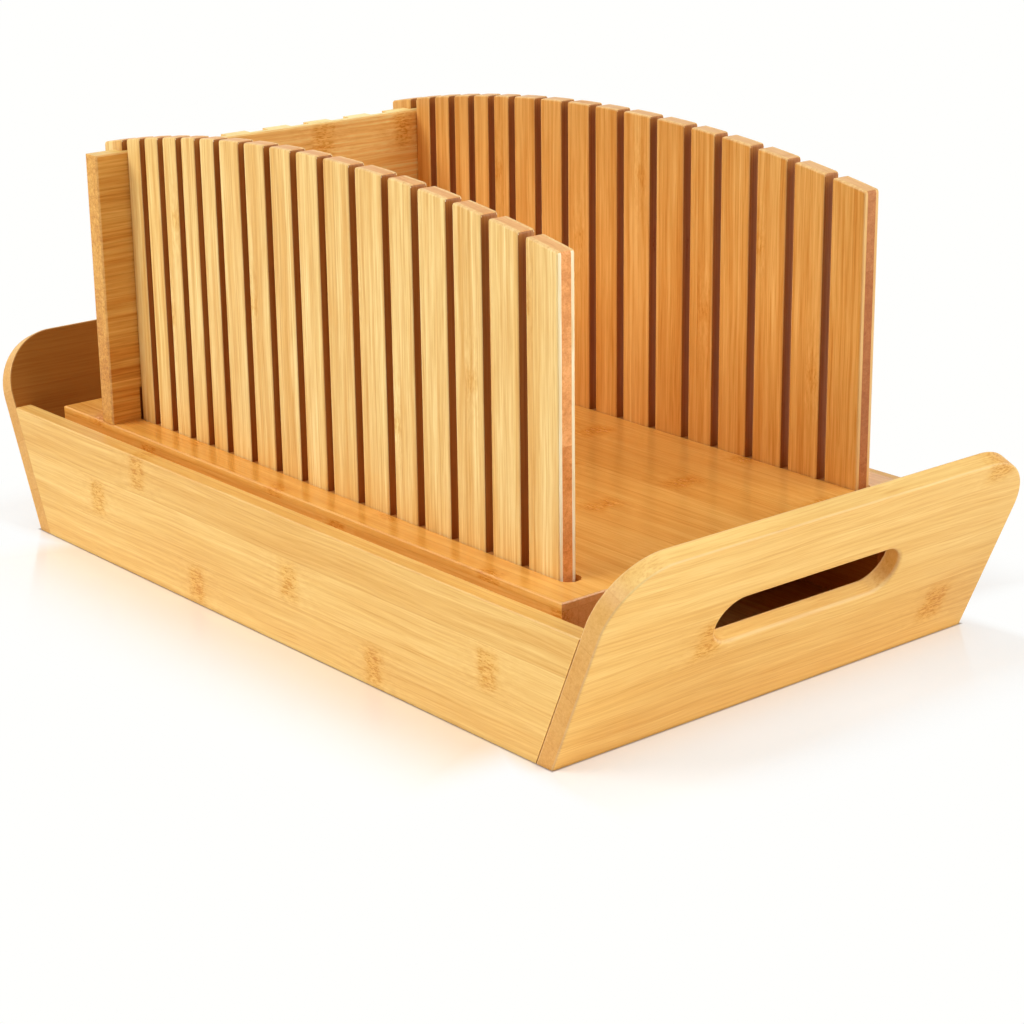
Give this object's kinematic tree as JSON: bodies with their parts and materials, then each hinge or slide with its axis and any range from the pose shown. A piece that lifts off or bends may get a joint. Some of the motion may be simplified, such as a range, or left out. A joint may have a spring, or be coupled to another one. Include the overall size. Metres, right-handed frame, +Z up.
{
  "type": "bread slicer guide",
  "caption": "Bamboo bread slicer: two slotted comb guides and a stop board on a raised base, standing in a crumb tray with splayed ends and hand grips.",
  "frame": {"origin": "centre of the tray's footprint, on the surface that it stands on", "axes": "+X along the loaf towards the open end, +Y towards the right guide, +Z up"},
  "size_m": [0.4102, 0.21, 0.1852],
  "materials": {
    "bamboo_natural": "satin oiled bamboo, light straw colour",
    "bamboo_warm": "satin oiled bamboo, warm honey colour",
    "bamboo_light": "satin oiled bamboo, pale face ply",
    "bamboo_core": "cross-laid bamboo core, end grain at the slots",
    "dowel_wood": "plain wood dowel",
    "screw_steel": "zinc-plated steel"
  },
  "bodies": {
    "tray": {"tray_floor": "bamboo_natural", "tray_wall_left": "bamboo_natural", "tray_wall_right": "bamboo_natural", "tray_end_near": "bamboo_natural", "tray_end_far": "bamboo_natural", "tray_dowels": "dowel_wood"},
    "slicer_base": {"base_board": "bamboo_warm", "base_rail_left": "bamboo_warm", "base_rail_right": "bamboo_warm", "base_screws": "screw_steel"},
    "guide_left": {"guide_left_inner_ply": "bamboo_light", "guide_left_core_ply": "bamboo_core", "guide_left_outer_ply": "bamboo_light"},
    "guide_right": {"guide_right_inner_ply": "bamboo_light", "guide_right_core_ply": "bamboo_core", "guide_right_outer_ply": "bamboo_light"},
    "stop_board": {"stop_board": "bamboo_warm"}
  },
  "joints": [
    {"name": "base_lift", "type": "slide", "parent": "tray", "child": "slicer_base", "axis": [0, 0, 1], "range_m": [0, 0.08]},
    {"name": "guide_left_lift", "type": "slide", "parent": "slicer_base", "child": "guide_left", "axis": [0, 0, 1], "range_m": [0, 0.012]},
    {"name": "guide_right_lift", "type": "slide", "parent": "slicer_base", "child": "guide_right", "axis": [0, 0, 1], "range_m": [0, 0.012]},
    {"name": "stop_lift", "type": "slide", "parent": "slicer_base", "child": "stop_board", "axis": [0, 0, 1], "range_m": [0, 0.12]}
  ]
}
